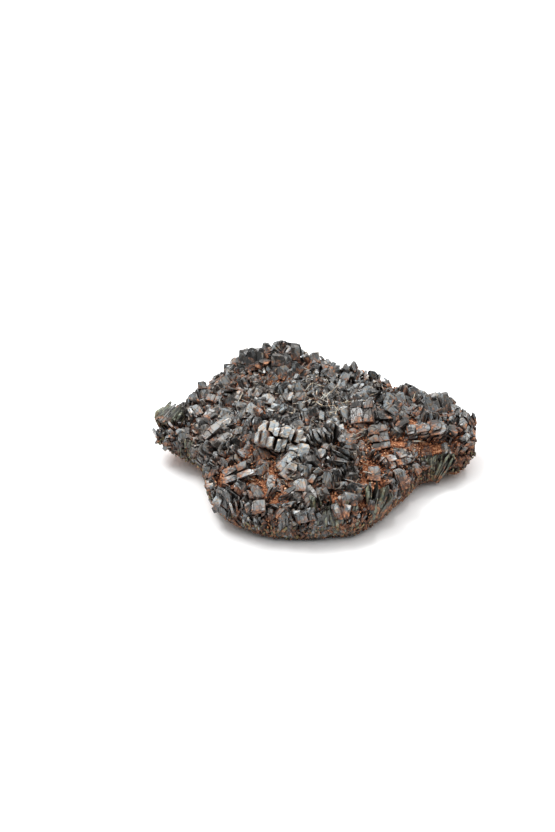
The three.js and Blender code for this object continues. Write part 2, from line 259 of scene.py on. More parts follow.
# Epidote: glassy, nearly black crystals, finely lined along their length and cracked across it.
# Iron rust clings to their roots and a thin brown dust dulls what faces up.
epidoteFinish = {
    "lineSpacing": 0.42,  # mm between the lines along a crystal, coarser than the real ones so that they show
    "lineChange": 0.35,  # changes of a line in each mm of its length
    "lineDepth": 0.04,  # mm
    "flake": (1.3, 2.2),  # mm, width and length of one flat of a broken face
    "flakeTilt": 0.28,  # how far the flats lean, beside 1 for the face
    "crackWidth": 0.036,  # as a share of a flat
    "crackDepth": 0.1,  # mm
    "lineShare": 0.78,  # of the lines in the stone's shade, beside the crystal's own tone
    "flakeShare": 0.5,
    "shadeRange": 0.46,  # brings their sum to the steps
    "shadeSteps": (0.21, 0.43, 0.52, 0.84),  # for the stone's four colours
    "tints": ("#c9d6e0", "#f0f0ee", "#ffdcb8"),  # the stone runs from steely to brown
    "tintSteps": (0.36, 0.5, 0.66),
    "tintSize": 0.9,  # mm
    "dust": "#93806e",
    "dustPatch": 2.6,  # mm
    "dustOnFlats": 0.3,  # more on what faces up
    "dustRange": (0.7, 1.5),  # from none to the most
    "dustMost": 0.4,
    "film": ("#2c1b13", "#7e5138", "#c48c66"),  # of rust; the first also fills the cracks, rust there with painted shade in them
    "filmSteps": (0.35, 0.5, 0.68),
    "filmPatch": 0.9,  # how far it follows the patches of dust
    "filmRange": (1.09, 1.39),  # from bare stone to rust
    "blotch": 1.0,  # mm, size of a blot of rust
    "glossRange": (0.35, 0.7),  # of the lines, from the stone's roughness to glossLoss more
    "glossLoss": 0.2,
    "coated": 0.95,  # roughness under rust or dust
    "shadeAndGrime": ("#120c09", "#96715b", "#ffffff"),  # painted shade, brown as dirt: from where crystals crowd together to the open
    "gapWidth": 1.5,  # mm
    "ior": 1.75,
}
# The stone's colours from its cracks to its brightest flats, and its roughness
epidoteKinds = {
    "glassy_epidote": (("#050606", "#2a2d2d", "#7e8385", "#cdd2d3"), 0.22),  # steely flats beside near black ones
    "fibrous_green_epidote": (("#0f110c", "#2b2f25", "#646b57", "#a6ad93"), 0.34),  # a silky grey-green sheen
    "olive_epidote_fibres": (("#15140b", "#3a3721", "#7c7646", "#b9b17a"), 0.5),  # soft and nearly dull
    "pale_epidote_needles": (("#3a352b", "#7d7563", "#c4bca6", "#ece6d6"), 0.3),  # straw-coloured splinters
}


def epidoteLook(name, colours, roughness):
    finish = epidoteFinish
    material, shader, add = newMaterial(name)
    grain = add("UVMap", {"uv_map": "crystalGrain"})["UV"]
    place = add("TexCoord")["Object"]
    normal = add("NewGeometry")["Normal"]
    tone, rust, dusty = (add("Attribute", {"attribute_name": layer})["Fac"] for layer in ("tone", "rust", "dust"))
    blotch, patch, tintAt = (
        add("TexNoise", {
            "Scale": perMetre(finish[size]), "Detail": detail, "Roughness": rough}, {"Vector": place})["Fac"]
        for size, detail, rough in (("blotch", 4.0, 0.65), ("dustPatch", 5.0, 0.7), ("tintSize", 2.0, 0.5)))
    lined, broken = (add("Mapping", {"Scale": scale}, {"Vector": grain})[0] for scale in (
        (1 / finish["lineSpacing"], finish["lineChange"], 1.0),
        (1 / finish["flake"][0], 1 / finish["flake"][1], 1.0)))
    lines = add("TexNoise", {"Scale": 1.0, "Detail": 4.0, "Roughness": 0.7}, {"Vector": lined})["Fac"]
    flakes = add("TexVoronoi", {"Scale": 1.0}, {"Vector": broken})["Color"]
    toEdge = add("TexVoronoi", {"feature": "DISTANCE_TO_EDGE", "Scale": 1.0}, {"Vector": broken})["Distance"]
    crack = add("MapRange", {"From Max": finish["crackWidth"]}, {"Value": toEdge})[0]  # 0 in a crack, 1 on a flat
    flakeTone = add("SeparateXYZ", links={"Vector": flakes})["X"]
    up = add("SeparateXYZ", links={"Vector": normal})["Z"]

    # Each starts from the crystal's own value, and the patterns add their shares
    sums = []
    for level, parts in (
            (tone, ((lines, finish["lineShare"]), (flakeTone, finish["flakeShare"]))),
            (dusty, ((up, finish["dustOnFlats"]), (patch, 1.0))),
            (rust, ((blotch, 1.0), (patch, finish["filmPatch"])))):
        for pattern, share in parts:
            level = add("Math", {"operation": "MULTIPLY_ADD", 1: share}, {0: pattern, 2: level})[0]
        sums.append(level)
    shade = add("Math", {"operation": "MULTIPLY", 1: finish["shadeRange"]}, {0: sums[0]})[0]
    dustMask = add("MapRange", {"From": finish["dustRange"], "To Max": finish["dustMost"]}, {"Value": sums[1]})[0]
    filmMask = add("MapRange", {"From": finish["filmRange"]}, {"Value": sums[2]})[0]

    stone, tint, rusty = (
        add("ValToRGB", {"stops": (finish[steps], hues)}, {"Fac": level})["Color"]
        for steps, hues, level in (
            ("shadeSteps", colours, shade), ("tintSteps", finish["tints"], tintAt),
            ("filmSteps", finish["film"], blotch)))
    colour = add("Mix", {"data_type": "RGBA", "blend_type": "MULTIPLY", "Factor": 1.0}, {
        "A": stone, "B": tint})["Result"]
    colour = add("Mix", {"data_type": "RGBA", "B": toLinear(finish["dust"])}, {
        "Factor": dustMask, "A": colour})["Result"]
    colour = add("Mix", {"data_type": "RGBA"}, {"Factor": filmMask, "A": colour, "B": rusty})["Result"]
    # Cracks take the rust's darkest colour: rust in them, and painted shade in their recess
    colour = add("Mix", {"data_type": "RGBA", "A": toLinear(finish["film"][0])}, {
        "Factor": crack, "B": colour})["Result"]

    gloss = add("MapRange", {
        "From": finish["glossRange"], "To": (roughness, roughness + finish["glossLoss"])}, {"Value": lines})[0]
    coated = add("Math", {"operation": "MAXIMUM"}, {0: filmMask, 1: dustMask})[0]
    rough = add("Mix", {"data_type": "FLOAT", "B": finish["coated"]}, {"Factor": coated, "A": gloss})["Result"]

    centred = add("VectorMath", {"operation": "SUBTRACT", 1: (0.5, 0.5, 0.5)}, {0: flakes})[0]
    tilted = add("VectorMath", {"operation": "MULTIPLY_ADD", 1: (finish["flakeTilt"],) * 3}, {
        0: centred, 2: normal})[0]
    tilted = add("VectorMath", {"operation": "NORMALIZE"}, {0: tilted})[0]
    bump = add("Bump", {"Strength": 0.35, "Distance": finish["lineDepth"] * mm}, {
        "Height": lines, "Normal": tilted})["Normal"]
    bump = add("Bump", {"Strength": 0.8, "Distance": finish["crackDepth"] * mm}, {
        "Height": crack, "Normal": bump})["Normal"]
    # the crystals' colour takes painted shade where they crowd together
    feed(material, shader, {"Base Color": withShadeAndGrime(add, colour, finish), "Roughness": rough, "Normal": bump})
    shader.inputs["IOR"].default_value = finish["ior"]
    return material


# The slab's outline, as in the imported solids: x, y, height of the underside, height of the shoulder
rimStations = [
    (41, 7, 4, 11), (38, 10.5, 3.5, 12), (30.5, 13.5, 3, 12.5), (20, 18, 3, 13), (7, 25, 3, 13.5),
    (-4, 29.5, 3.5, 14.5), (-16, 30, 3.5, 14.5), (-25, 24, 3.5, 13), (-30, 16.5, 4, 12), (-37.5, 10.5, 4, 10),
    (-42, 5, 5, 9), (-42.2, 1.5, 5, 8.5), (-38, -1.5, 3.8, 8.5), (-32, -5, 2.8, 9), (-28.5, -10, 2.5, 9),
    (-28.5, -16.5, 2.5, 9), (-27, -23, 2.5, 8.5), (-22.5, -29, 1.8, 8.5), (-13, -33.5, 0.7, 8.5),
    (-5.5, -34.2, 0.5, 8.5), (3, -33.5, 0.5, 9), (9, -33, 0.7, 9), (15, -28.5, 1.4, 9), (20.5, -21.5, 2, 9),
    (26.5, -12, 1.8, 8.5), (33, -8, 1.4, 8), (38.5, -6.5, 1.8, 8), (41.3, -3, 3, 8.5), (42, 1.5, 4.5, 9.5),
]
slab = {
    "middle": (1, -1),
    "domeHeight": 13.5,
    "footShare": 0.6,  # how much of the radius lies flat on the ground
    "wallLevel": (0, 0.35, 0.72, 1),  # from the underside to the shoulder
    "wallShare": (0.97, 1.0, 0.98, 0.9),  # of the rim's radius at those levels
}


def fromMiddle(x, y):
    dx, dy = x - slab["middle"][0], y - slab["middle"][1]
    return math.atan2(dy, dx), math.hypot(dx, dy)


rimByAngle = sorted((*fromMiddle(x, y), low, top) for x, y, low, top in rimStations)


def rimAt(angle):
    turn = math.atan2(math.sin(angle), math.cos(angle))
    after = next((i for i, station in enumerate(rimByAngle) if station[0] > turn), 0)
    one, other = rimByAngle[after - 1], rimByAngle[after]
    full = 2 * math.pi
    share = ((turn - one[0] + full) % full) / ((other[0] - one[0] + full) % full)
    return [lerp(one[i], other[i], share) for i in (1, 2, 3)]  # radius, underside, shoulder


def topHeight(shoulder, share):
    return lerp(slab["domeHeight"], shoulder, smoothStep(share, 0.3, 1))


def wallShareAt(level):
    return float(np.interp(level, slab["wallLevel"], slab["wallShare"]))


def surfaceHeight(share, low, top):
    level = float(np.interp(share, slab["wallShare"][:0:-1], slab["wallLevel"][:0:-1]))
    return lerp(low, topHeight(top, share), level)


def placeOnSlab(x, y):
    angle, reach = fromMiddle(x, y)
    radius, low, top = rimAt(angle)
    return reach / radius, low, top


def rockHeightAt(x, y):
    share, low, top = placeOnSlab(x, y)
    return topHeight(top, min(1, share))


def slabPoint(angle, reach):
    return slab["middle"][0] + reach * math.cos(angle), slab["middle"][1] + reach * math.sin(angle)


# Evenly spread numbers from 0 to 1, or between two others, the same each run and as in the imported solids
def seededNumbers(seed):
    state = seed

    def draw(low=0, high=1):
        nonlocal state
        state = (state + 0x6d2b79f5) & 0xffffffff
        mixed = ((state ^ (state >> 15)) * (state | 1)) & 0xffffffff
        mixed ^= (mixed + (mixed ^ (mixed >> 7)) * (mixed | 61)) & 0xffffffff
        return lerp(low, high, (mixed ^ (mixed >> 14)) / 4294967296)
    return draw


def randomSpot(random, reach=1.0):
    angle = 2 * math.pi * random()
    share = reach * math.sqrt(random())
    radius, low, top = rimAt(angle)
    return *slabPoint(angle, share * radius), angle, share, low, top


def pick(shapes, random):
    return shapes[int(random() * len(shapes))]


# Thickness, length and width from a piece's own ranges
def sizeFrom(piece, random, length=None, stunted=1):
    thick = random(*piece["thickness"])
    tall = length or stunted * random(*piece["length"])
    return Matrix.Diagonal((thick, tall, random(*piece["width"]), 1))


def direction(heading, rise):
    return Vector((math.cos(rise) * math.cos(heading), math.cos(rise) * math.sin(heading), math.sin(rise)))


# Puts a shape's root at a place, its thickness along one direction and its length along another
def standing(place, facing, along):
    turned = Matrix((facing, along, facing.cross(along))).transposed().to_4x4()
    return Matrix.Translation(place) @ turned


def turnedAbout(axis, degrees, random):
    return Matrix.Rotation(math.radians(degrees * random(-1, 1)), 4, axis)


# Stains on the crust: x, y, radius in mm, strength
stains = {
    "rust": [
        (13, -10, 8, 1.0), (18, -15, 7, 0.9), (33, -4, 8, 0.9), (40, 6, 5, 0.8), (-17, -11, 6, 1.0),
        (-15, -18, 5, 0.9), (-24, -18, 4, 0.8), (-12, 22, 6, 0.6), (-4, 29, 4, 0.5), (-23, 18, 4, 0.5),
        (21, 17, 4, 0.7), (19, -25, 5, 0.9), (10, -31, 4, 0.9), (-10, -28, 6, 0.5), (39, -8, 4, 0.8),
        (25, -9, 5, 0.9), (14, -23, 4, 0.9), (5, -29, 4, 0.6), (-12, -22, 4, 0.8), (-20, -25, 3, 0.7),
        (-8, 20, 4, 0.7), (-24, 9, 3, 0.5), (-16, 4, 3, 0.5),
    ],
    "dust": [
        (-28, -7, 6, 0.7), (-31, -2, 4, 0.5), (-25, 17, 6, 0.6), (-10, 14, 8, 0.4), (14, -8, 8, 0.5),
        (-14, -24, 8, 0.5),
    ],
    "light": [  # where the flats are lighter or, below 0, darker
        (3.4, -4, 4, 0.8), (-9.5, -8, 5, 0.3), (-5.6, 10.8, 3, 0.4), (-28, -5, 3, 0.15), (-9, -19, 3, 0.3),
        (-33, 5, 9, -0.22), (24, -2, 9, -0.12), (-14, 25, 6, -0.15),
    ],
}


def stainAt(kind, x, y):
    return sum(strength * math.exp(-((x - px) ** 2 + (y - py) ** 2) / radius ** 2)
               for px, py, radius, strength in stains[kind])


# Soft blots of a size in mm, from -1 to 1; each layer has its own
def blotAt(x, y, size, layer):
    return noise.noise(Vector((x, y, layer)) / size)


# Each blot is its size in mm and its layer of the noise
mottling = {
    "edgeBlot": (2.2, 3), "edge": 0.7,
    "rustBlot": (3.2, 0), "rust": 0.45, "patches": 0.55, "everywhere": 0.3,
    "dustBlot": (4.0, 7), "dust": 0.35, "dusty": 0.5,
}


def patchAt(x, y):
    ragged = 1 + mottling["edge"] * blotAt(x, y, *mottling["edgeBlot"])
    return min(1, ragged * stainAt("rust", x, y))


def rustAt(x, y):
    blots = mottling["rust"] * blotAt(x, y, *mottling["rustBlot"])
    return patchAt(x, y) * mottling["patches"] + mottling["everywhere"] + blots


def dustAt(x, y):
    blots = mottling["dust"] * blotAt(x, y, *mottling["dustBlot"])
    return min(1, stainAt("dust", x, y)) * mottling["dusty"] + blots


# Crystal shapes: a slab-like block of unit size, root at y = 0 and tip at y = 1, cut and bevelled.
# Places are shares of its length or width, and leans are beside 1 along the length.
crystalForms = {
    "seed": 77,
    "proportions": (0.42, 1.5, 1.0),  # thickness, length, width while it is cut
    "tip": (0.84, 0.98),  # where the end is cut
    "tipLean": ((-0.7, 0.9), (-0.35, 0.35)),  # over the thickness and the width
    "shoulder": ((-0.05, 0.3), (0.5, 1.6)),  # place across the width, lean
    "otherShoulder": ((0.15, 0.42), (0.5, 1.8)),
    "twoShoulders": 0.6,  # how often
    "side": (0.36, 0.5),  # where one long side is cut
    "sideLean": ((-0.3, 0.3), (-0.1, 0.2)),
    "chipAlong": (0.5, 1.0),
    "chipDepth": (0.78, 0.92),
    "bevel": 0.018,
    "grainLumps": (0.7, 1.25),
    "blocks": 10,
    "splinters": 8,
    "grains": 6,
}


def shapeFrom(bm):
    bmesh.ops.recalc_face_normals(bm, faces=bm.faces[:])
    bm.verts.index_update()
    shape = {
        "points": np.array([v.co[:] for v in bm.verts]),
        "corners": np.array([v.index for f in bm.faces for v in f.verts]),
        "sides": [len(f.verts) for f in bm.faces],
    }
    bm.free()
    return shape


def cutAway(bm, point, normal):
    whole = bm.verts[:] + bm.edges[:] + bm.faces[:]
    cut = bmesh.ops.bisect_plane(bm, geom=whole, dist=1e-6, plane_co=point, plane_no=normal, clear_outer=True)
    rim = [g for g in cut["geom_cut"] if isinstance(g, bmesh.types.BMEdge)]
    if len(rim) > 2:
        bmesh.ops.contextual_create(bm, geom=rim)


def crystalShape(random, bevel):
    form = crystalForms
    thick, tall, wide = form["proportions"]
    bm = bmesh.new()
    bmesh.ops.create_cube(bm, size=1)
    bmesh.ops.translate(bm, verts=bm.verts[:], vec=(0, 0.5, 0))
    bmesh.ops.scale(bm, verts=bm.verts[:], vec=(thick, tall, wide))
    side = 1 if random() < 0.5 else -1
    cutAway(bm, (0, tall * random(*form["tip"]), 0), (
        random(*form["tipLean"][0]), 1, random(*form["tipLean"][1])))
    across, lean = form["shoulder"]
    cutAway(bm, (0, tall, side * wide * random(*across)), (0.3 * random(), 1, side * random(*lean)))
    if random() < form["twoShoulders"]:
        across, lean = form["otherShoulder"]
        cutAway(bm, (0, tall, -side * wide * random(*across)), (0, 1, -side * random(*lean)))
    cutAway(bm, (0, tall * 0.5, side * wide * random(*form["side"])), (
        random(*form["sideLean"][0]), random(*form["sideLean"][1]), side))
    for _ in range(1 + int(2 * random())):  # chipped corners
        corner = Vector((
            thick * 0.5, tall * random(*form["chipAlong"]), (1 if random() < 0.5 else -1) * wide * 0.5))
        cutAway(bm, corner * random(*form["chipDepth"]), (thick, 0.6 * random(), corner.z))
    if bevel:
        bmesh.ops.bevel(bm, geom=bm.edges[:], offset=bevel, affect="EDGES", segments=1, profile=0.5, material=-1)
    bmesh.ops.scale(bm, verts=bm.verts[:], vec=(1 / thick, 1 / tall, 1 / wide))
    return shapeFrom(bm)


def grainShape(random):
    bm = bmesh.new()
    bmesh.ops.create_icosphere(bm, subdivisions=1, radius=0.5)
    for vert in bm.verts:
        vert.co *= random(*crystalForms["grainLumps"])
    return shapeFrom(bm)


formNumbers = seededNumbers(crystalForms["seed"])
blockShapes = [crystalShape(formNumbers, crystalForms["bevel"]) for _ in range(crystalForms["blocks"])]
splinterShapes = [crystalShape(formNumbers, 0) for _ in range(crystalForms["splinters"])]
grainShapes = [grainShape(formNumbers) for _ in range(crystalForms["grains"])]
print("crystal shapes:", len(blockShapes) + len(splinterShapes) + len(grainShapes))


# A map of each crystal's own grain in mm, and how its rust changes along it
grainMap = {
    "step": 7.31,  # mm to the next copy's part of the pattern
    "around": 97,  # mm, where the parts start again
    "slant": 0.7,  # how far the lines move over the thickness
    "rootRust": 0.5,  # more at the root than at the tip
    "cleanFrom": 0.35,  # share of the length
}


def addLayer(data, name, values):
    data.attributes.new(name, "FLOAT", "POINT").data.foreach_set("value", values)


def finishPiece(data, material):
    data.materials.append(material)
    piece = addObject(data.name, data)
    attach(piece, "root")
    print(f"{data.name}: {len(data.loops) - 2 * len(data.polygons)} triangles")
    return piece


# A copy is a shape, its matrix, how light it is and how rusty
def joinCopies(name, copies, material):
    points, corners, totals, grain = [], [], [], []
    layers = {"tone": [], "rust": [], "dust": []}
    base = 0
    for number, (shape, matrix, tone, rust) in enumerate(copies):
        m = np.array(matrix)
        local = shape["points"]
        points.append(local @ m[:3, :3].T + m[:3, 3])
        corners.append(shape["corners"] + base)
        totals.extend(shape["sides"])
        inMm = local * np.linalg.norm(m[:3, :3], axis=0)
        shift = (number * grainMap["step"]) % grainMap["around"]
        across = inMm[:, 2] + grainMap["slant"] * inMm[:, 0] + shift
        grain.append(np.stack([across, inMm[:, 1] + 1.7 * shift], 1)[shape["corners"]])
        layers["tone"].append(np.full(len(local), tone))
        layers["rust"].append(rust + grainMap["rootRust"] * (grainMap["cleanFrom"] - local[:, 1]))
        layers["dust"].append(np.full(len(local), dustAt(m[0, 3], m[1, 3])))
        base += len(local)
    points = (np.concatenate(points) - [*boxMiddle, 0]) * mm
    corners = np.concatenate(corners)
    data = bpy.data.meshes.new(name)
    data.vertices.add(len(points))
    data.vertices.foreach_set("co", points.ravel())
    data.loops.add(len(corners))
    data.loops.foreach_set("vertex_index", corners)
    data.polygons.add(len(totals))
    data.polygons.foreach_set("loop_start", np.concatenate([[0], np.cumsum(totals)[:-1]]))
    data.polygons.foreach_set("loop_total", totals)
    data.update(calc_edges=True)
    data.uv_layers.new(name="crystalGrain").data.foreach_set("uv", np.concatenate(grain).ravel())
    for layer, values in layers.items():
        addLayer(data, layer, np.concatenate(values))
    data.shade_flat()
    return finishPiece(data, material)


# One crystal as the real one is: a few plates grown flat on each other, cracked across, with stepped ends
plates = {
    "thickness": 0.7,  # mm, of one plate
    "ends": (0.8, 1.03),  # length of a plate, as a share
    "sides": (0.76, 1.04),  # width, as a share
    "tilt": 3.0,  # degrees
    "block": (2.4, 2.3),  # mm, length and width between cracks
    "crackTilt": 6.0,  # degrees
    "crackGap": 0.07,  # mm
    "lift": 0.3,  # how far a block stands proud, as a share of its thickness
    "swell": (0.86, 1.15),  # thickness of a block, as a share of its plate's
    "tones": (0.5, 0.3),  # how much the plates, and the blocks of one, differ
}
fineLeaves = {
    **plates, "thickness": 0.5, "ends": (0.88, 1.02), "sides": (0.85, 1.02), "tilt": 1.2, "block": (6, 4),
    "swell": (1.0, 1.5),
}
broadPlates = {
    **plates, "thickness": 1.2, "ends": (0.94, 1.06), "sides": (0.96, 1.08), "tilt": 1.0, "block": (3.2, 3),
    "swell": (1.15, 1.4), "crackTilt": 2.5,
}

# Layout of the crystal rows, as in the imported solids, with how light their faces are and their plates
usual = {
    "turn": 0, "fan": 0, "count": 3, "rows": 2, "sunk": 1.6, "lift": 0, "size": (5.6, 3, 1.4),
    "tone": 0.45, "form": plates,
}
crystalGroups = {
    "left_tip_fan": dict(
        at=(-37.8, 6.5), face=(160, 10), fan=13, rows=1, count=5, size=(6, 5.6, 1.5), tone=0.6, form=fineLeaves),
    "left_upper_blocks": dict(at=(-31, 12.5), face=(-70, 50), size=(6.4, 2.9, 1.5), tone=0.3),
    "left_flat_plate": dict(at=(-27.5, -3.5), face=(-115, 62), turn=-35, size=(7.2, 2.8, 1.5), tone=0.55),
    "left_ribbed_stack": dict(
        at=(-21.5, -9), face=(-25, 30), count=5, turn=25, size=(6.6, 2.7, 1.3), tone=0.35, form=fineLeaves),
    "back_left_knob": dict(at=(-17, 26), face=(-100, 35), rows=3, size=(6.8, 2.8, 2.2), tone=0.15),
    "back_knob": dict(at=(-8.5, 25.5), face=(-75, 30), rows=3, turn=-10, size=(7.4, 3, 2.4), tone=0.1),
    "back_tall_blade": dict(at=(10.5, 19.5), face=(-30, 25), turn=12, size=(6.6, 2.4, 1.5), tone=0.25),
    "right_back_blocks": dict(at=(32, 8.5), face=(-85, 42), rows=3, turn=15, size=(5.4, 2.5, 1.7)),
    "right_tip_blade": dict(at=(38.5, 3), face=(-20, 30), size=(6, 2.8, 1.4)),
    # centre_fan's high tone is a painted highlight: its flats reach the stone's lightest colours where a sheen of
    # light lies on them
    "centre_fan": dict(
        at=(-9.5, -9), face=(175, 15), turn=-38, fan=12, count=6, size=(9, 3.4, 1.8), tone=1.35,
        form=broadPlates),
    # centre_bright_blades' high tone is a painted highlight too: lighter flats for the light glancing off them
    "centre_bright_blades": dict(at=(-8.5, -19), face=(-80, 50), turn=-50, size=(7, 2.6, 1.5), tone=1.05),
    "centre_dark_fan": dict(
        at=(1.5, -9), face=(20, 10), fan=13, count=5, rows=1, turn=10, size=(6.4, 5, 1.3), tone=0.36,
        form=fineLeaves),
    "curved_stack": dict(
        at=(7.5, -15), face=(60, 20), fan=12, count=5, rows=1, turn=-10, size=(6.4, 5.4, 1.5), tone=0.42,
        form=fineLeaves),
    "right_plate_pair": dict(at=(12.5, 0), face=(-110, 58), turn=15, size=(6.8, 3.1, 1.6), tone=0.0),
    "right_plate_stack": dict(at=(22, 4), face=(-60, 48), turn=35, size=(7, 3, 1.5)),
    "right_broad_plate": dict(at=(16, -8), face=(-85, 55), turn=5, size=(7.6, 3.2, 1.6)),
    "right_diagonal_blade": dict(at=(25, -3), face=(-120, 60), rows=1, turn=-60, size=(10, 3.6, 1.6), tone=0.3),
    "right_flat_blades": dict(at=(18, -14.5), face=(-80, 72), turn=-75, size=(8, 2.4, 1.2)),
    "right_rim_sheaf": dict(
        at=(30, -8), face=(-10, 5), fan=9, count=6, rows=1, size=(8.6, 4, 1.6), lift=-5, form=fineLeaves),
    "front_sheaf": dict(
        at=(2.5, -30), face=(5, -12), fan=7, count=7, rows=1, size=(10.5, 4, 1.8), lift=-4.5, form=fineLeaves),
    "front_right_sheaf": dict(
        at=(13.5, -27.5), face=(10, -10), fan=8, count=5, rows=1, size=(9.5, 3.8, 1.6), lift=-4.5,
        form=fineLeaves),
    "front_left_wedge": dict(
        at=(-23, -26.5), face=(-140, 20), fan=9, count=5, rows=1, size=(7.6, 4.6, 1.7), lift=-2.5, tone=0.15),
    "front_plates": dict(at=(-9.5, -31), face=(-95, 35), turn=15, size=(7.4, 3.2, 1.6), lift=-3),
    "front_right_block": dict(at=(20, -20.5), face=(-60, 40), size=(5.8, 2.8, 1.6), lift=-1),
    "front_left_blades": dict(at=(-22.5, -19), face=(-110, 58), turn=-55, size=(8.6, 2.4, 1.5)),
}
greenSheaves = ("right_rim_sheaf", "front_sheaf", "front_right_sheaf")
looksGreen = (*greenSheaves, "left_tip_fan")
groups = [{**usual, **own, "name": name, "seed": 100 + i} for i, (name, own) in enumerate(crystalGroups.items())]
rowForm = {
    "spacing": 0.88,  # of the rows, as a share of their width
    "fanRoot": 0.4,  # how close a fan's crystals stand at their root
    "fanReach": 0.8,  # where along a fan the room for each crystal is taken
    "fanFill": 0.92,  # how much of that room it fills
    "tilts": (6, 8, 5),  # degrees about a crystal's thickness, length and width
    "toneSpread": 0.2,
    "rust": (0.25, 0.08),  # share of the crust's there, and the least
}


def frameOf(group):
    facing = direction(*(math.radians(a) for a in group["face"]))
    level = upwards.cross(facing).normalized()
    along = Matrix.Rotation(math.radians(group["turn"]), 3, facing) @ facing.cross(level)
    x, y = group["at"]
    return standing((x, y, rockHeightAt(x, y) + group["lift"]), facing, along)


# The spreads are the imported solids' own, and a random() that stands alone is a cut of theirs
def rowsOf(group):
    random = seededNumbers(group["seed"])
    length, width, thickness = group["size"]
    rows = []
    for i in range(group["rows"]):
        crystals = []
        across = 0
        for k in range(group["count"]):
            thick = thickness * (0.75 + 0.5 * random())
            tall = length * (0.76 + 0.4 * random())
            random()
            lean = math.radians(group["fan"] * (k - (group["count"] - 1) / 2))
            crystals.append([across + thick / 2, thick, tall, lean])
            across += thick
        for crystal in crystals:
            crystal[0] -= across / 2
        place = (
            0.8 * thickness * (random() - 0.5),
            0.22 * length * (random() - 0.5) - group["sunk"],
            (i - (group["rows"] - 1) / 2) * width * rowForm["spacing"])
        rowWidth = width * (0.92 + 0.2 * random())
        side = -1 if random() < 0.5 else 1
        random()
        random()
        rows.append((crystals, place, rowWidth, side))
    return rows


# Where cracks part a length: pairs of start and end, from 0 to 1
def splitsOf(size, block, random):
    parts = max(1, int(size / block * random(0.6, 1.2)))
    inner = sorted((k + random(-0.3, 0.3)) / parts for k in range(1, parts))
    return list(zip([0, *inner], [*inner, 1]))


def platesOf(matrix, thick, tall, width, tone, rust, side, form, random):
    layers = max(1, round(thick / form["thickness"] * random(0.8, 1.2)))
    layer = thick / layers
    flip = Matrix.Rotation(math.pi, 4, "Y") if side < 0 else Matrix.Identity(4)
    for i in range(layers):
        outer = i in (0, layers - 1)
        length = tall * random(*form["ends"])
        wide = width * random(*form["sides"])
        aside = (width - wide) * (random() - 0.5)
        place = (matrix @ Matrix.Translation(((i + 0.5) * layer - thick / 2, 0, aside))
                 @ turnedAbout("Z", form["tilt"], random) @ turnedAbout("X", form["tilt"], random))
        plateTone = tone + form["tones"][0] * (random() - 0.5)
        for start, end in splitsOf(length, form["block"][0], random):
            for left, right in splitsOf(wide, form["block"][1], random) if outer else [(0, 1)]:
                middle = Vector((
                    layer * form["lift"] * (random() - 0.5), start * length, (0.5 * (left + right) - 0.5) * wide))
                size = Matrix.Diagonal((
                    layer * random(*form["swell"]), (end - start) * length - form["crackGap"],
                    (right - left) * wide - form["crackGap"], 1))
                shape = pick(blockShapes, random)
                local = (place @ Matrix.Translation(middle) @ turnedAbout("Z", form["crackTilt"], random)
                         @ turnedAbout("Y", form["crackTilt"], random) @ flip @ size)
                yield shape, local, plateTone + form["tones"][1] * (random() - 0.5), rust


def groupCopies(group):
    random = seededNumbers(group["seed"] + 1000)
    home = frameOf(group)
    squeeze = rowForm["fanRoot"] if group["fan"] else 1
    overThickness, overLength, overWidth = rowForm["tilts"]
    share, least = rowForm["rust"]
    for crystals, (x, y, z), width, side in rowsOf(group):
        for across, thick, tall, lean in crystals:
            wide = thick
            if group["fan"]:
                spread = rowForm["fanReach"] * tall * math.sin(math.radians(group["fan"]))
                wide = rowForm["fanFill"] * (squeeze * thick + spread)
            placed = home @ (
                Matrix.Translation((x + squeeze * across, y, z)) @ Matrix.Rotation(-lean, 4, "Z")
                @ turnedAbout("X", overThickness, random) @ turnedAbout("Y", overLength, random)
                @ turnedAbout("Z", overWidth, random))
            tip = placed @ Vector((0, tall, 0))
            rust = share * rustAt(tip.x, tip.y) + least
            tone = group["tone"] + rowForm["toneSpread"] * (random() - 0.5)
            yield from platesOf(placed, wide, tall, width, tone, rust, side, group["form"], random)


# Lesser crystals of the crust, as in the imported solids
crust = {
    "seed": 5, "tries": 900, "reach": 0.98, "keepClear": 3.7, "singles": 0.75, "facing": (-175, -5),
    "faceRise": (28, 72), "turn": (-35, 35), "length": (4.2, 6.4), "width": (3, 5.2), "thickness": (1.6, 3),
    "rimLength": 0.68, "rimFrom": (0.7, 0.9), "tone": 0.4,
}


def crustBetween():
    random = seededNumbers(crust["seed"])
    found = []
    for i in range(crust["tries"]):
        x, y, _, share, _, _ = randomSpot(random, crust["reach"])
        stunted = lerp(1, crust["rimLength"], smoothStep(share, *crust["rimFrom"]))
        crystal = {
            **usual, "at": (x, y), "rows": 1, "seed": 500 + i, "tone": crust["tone"],
            "face": (random(*crust["facing"]), random(*crust["faceRise"])),
            "turn": random(*crust["turn"]),
            "count": 1 if random() < crust["singles"] else 2,
            "size": (stunted * random(*crust["length"]), random(*crust["width"]),
                     random(*crust["thickness"])),
        }
        if all(math.dist(other["at"], crystal["at"]) > crust["keepClear"] for other in groups + found):
            found.append(crystal)
    return found


